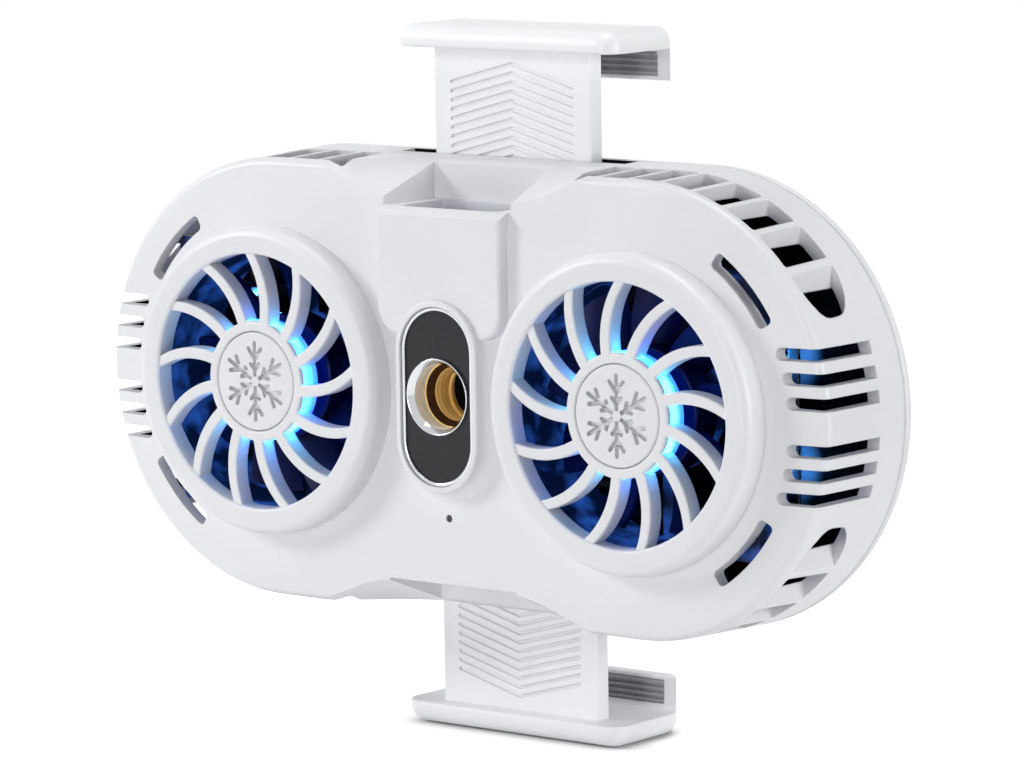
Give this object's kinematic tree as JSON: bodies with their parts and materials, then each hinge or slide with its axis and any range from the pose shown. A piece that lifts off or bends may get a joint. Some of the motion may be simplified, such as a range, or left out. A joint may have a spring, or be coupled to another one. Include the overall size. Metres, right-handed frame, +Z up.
{
  "type": "phone_cooling_fan",
  "caption": "Clip-on phone cooler: white stadium housing with two glowing grilled fans, a cold plate behind, geared sliding clamp arms with padded jaws and a threaded stand socket",
  "frame": {"origin": "Middle of the cold plate's outer face, which the phone's back lies against", "axes": "+X along the housing from the left fan to the right fan, +Y from the fans to the phone, +Z up along the clamp"},
  "size_m": [0.1342, 0.0359, 0.1048],
  "materials": {
    "white_abs": "satin white ABS moulding",
    "light_diffuser": "milky light guide, lit cyan blue",
    "black_pbt": "black moulded fan plastic",
    "sintered_bronze": "oil-soaked sintered bronze",
    "circuit_board": "green solder mask",
    "electrical_steel": "stacked laminations",
    "copper_wire": "enamelled copper windings",
    "bonded_magnet": "dark bonded ferrite",
    "steel": "plain bright steel",
    "aluminium": "satin aluminium",
    "ceramic": "white alumina ceramic",
    "blue_plastic": "blue insulator",
    "chrome": "bright chrome plating",
    "black_gloss": "polished black acrylic",
    "brass": "machined brass",
    "acetal": "natural acetal",
    "grey_rubber": "ribbed grey silicone",
    "black_anodised": "black anodised aluminium fins",
    "black_pvc": "black PVC ribbon insulation",
    "red_silicone": "red silicone wire insulation"
  },
  "bodies": {
    "housing": {"front_shell": "white_abs", "rear_cover": "white_abs", "fan_grille_left": "white_abs", "fan_grille_right": "white_abs", "hub_badge_left": "white_abs", "hub_badge_right": "white_abs", "light_ring_left": "light_diffuser", "light_ring_right": "light_diffuser", "fan_frame_left": "black_pbt", "fan_frame_right": "black_pbt", "fan_bush_left": "sintered_bronze", "fan_bush_right": "sintered_bronze", "motor_board_left": "circuit_board", "motor_board_right": "circuit_board", "stator_core_left": "electrical_steel", "stator_core_right": "electrical_steel", "stator_coils_left": "copper_wire", "stator_coils_right": "copper_wire", "heat_sink_left": "black_anodised", "heat_sink_right": "black_anodised", "cooling_tile_left": "ceramic", "cooling_tile_right": "ceramic", "cold_plate": "aluminium", "main_board": "circuit_board", "output_socket": "steel", "output_tongue": "blue_plastic", "input_socket": "steel", "input_tongue": "black_pbt", "indicator_pipe": "light_diffuser", "capsule_trim": "chrome", "capsule_plate": "black_gloss", "socket_ring": "chrome", "stand_insert": "brass", "guide_plate": "white_abs", "pinion_axle": "steel", "friction_washer": "steel", "case_screws": "steel", "fan_screws": "steel", "sink_screws": "steel", "guide_screws": "steel", "board_screws": "steel", "fan_lead_left": "black_pvc", "fan_lead_right": "black_pvc", "tile_leads_left": "red_silicone", "tile_leads_right": "red_silicone"},
    "upper_clamp": {"upper_arm": "white_abs", "upper_grip_pad": "grey_rubber"},
    "lower_clamp": {"lower_arm": "white_abs", "lower_grip_pad": "grey_rubber"},
    "clamp_pinion": {"sync_pinion": "acetal"},
    "left_rotor": {"impeller_left": "black_pbt", "magnet_ring_left": "bonded_magnet", "rotor_shaft_left": "steel"},
    "right_rotor": {"impeller_right": "black_pbt", "magnet_ring_right": "bonded_magnet", "rotor_shaft_right": "steel"}
  },
  "joints": [
    {"name": "upper_slide", "type": "slide", "parent": "housing", "child": "upper_clamp", "axis": [0, 0, 1], "range_m": [-0.014, 0.0015]},
    {"name": "lower_slide", "type": "slide", "parent": "housing", "child": "lower_clamp", "axis": [0, 0, -1], "range_m": [-0.014, 0.0015]},
    {"name": "pinion_spin", "type": "hinge", "parent": "housing", "child": "clamp_pinion", "pos_m": [0, -0.0039, 0], "axis": [0, 1, 0], "range_deg": [-25, 195]},
    {"name": "left_fan_spin", "type": "hinge", "parent": "housing", "child": "left_rotor", "pos_m": [-0.0336, -0.0155, 0], "axis": [0, 1, 0], "continuous": true},
    {"name": "right_fan_spin", "type": "hinge", "parent": "housing", "child": "right_rotor", "pos_m": [0.0336, -0.0155, 0], "axis": [0, 1, 0], "continuous": true}
  ],
  "couplings": [
    {"joint": "lower_slide", "follows": "upper_slide", "ratio": 1},
    {"joint": "pinion_spin", "follows": "upper_slide", "rad_per_m": -238.1}
  ]
}
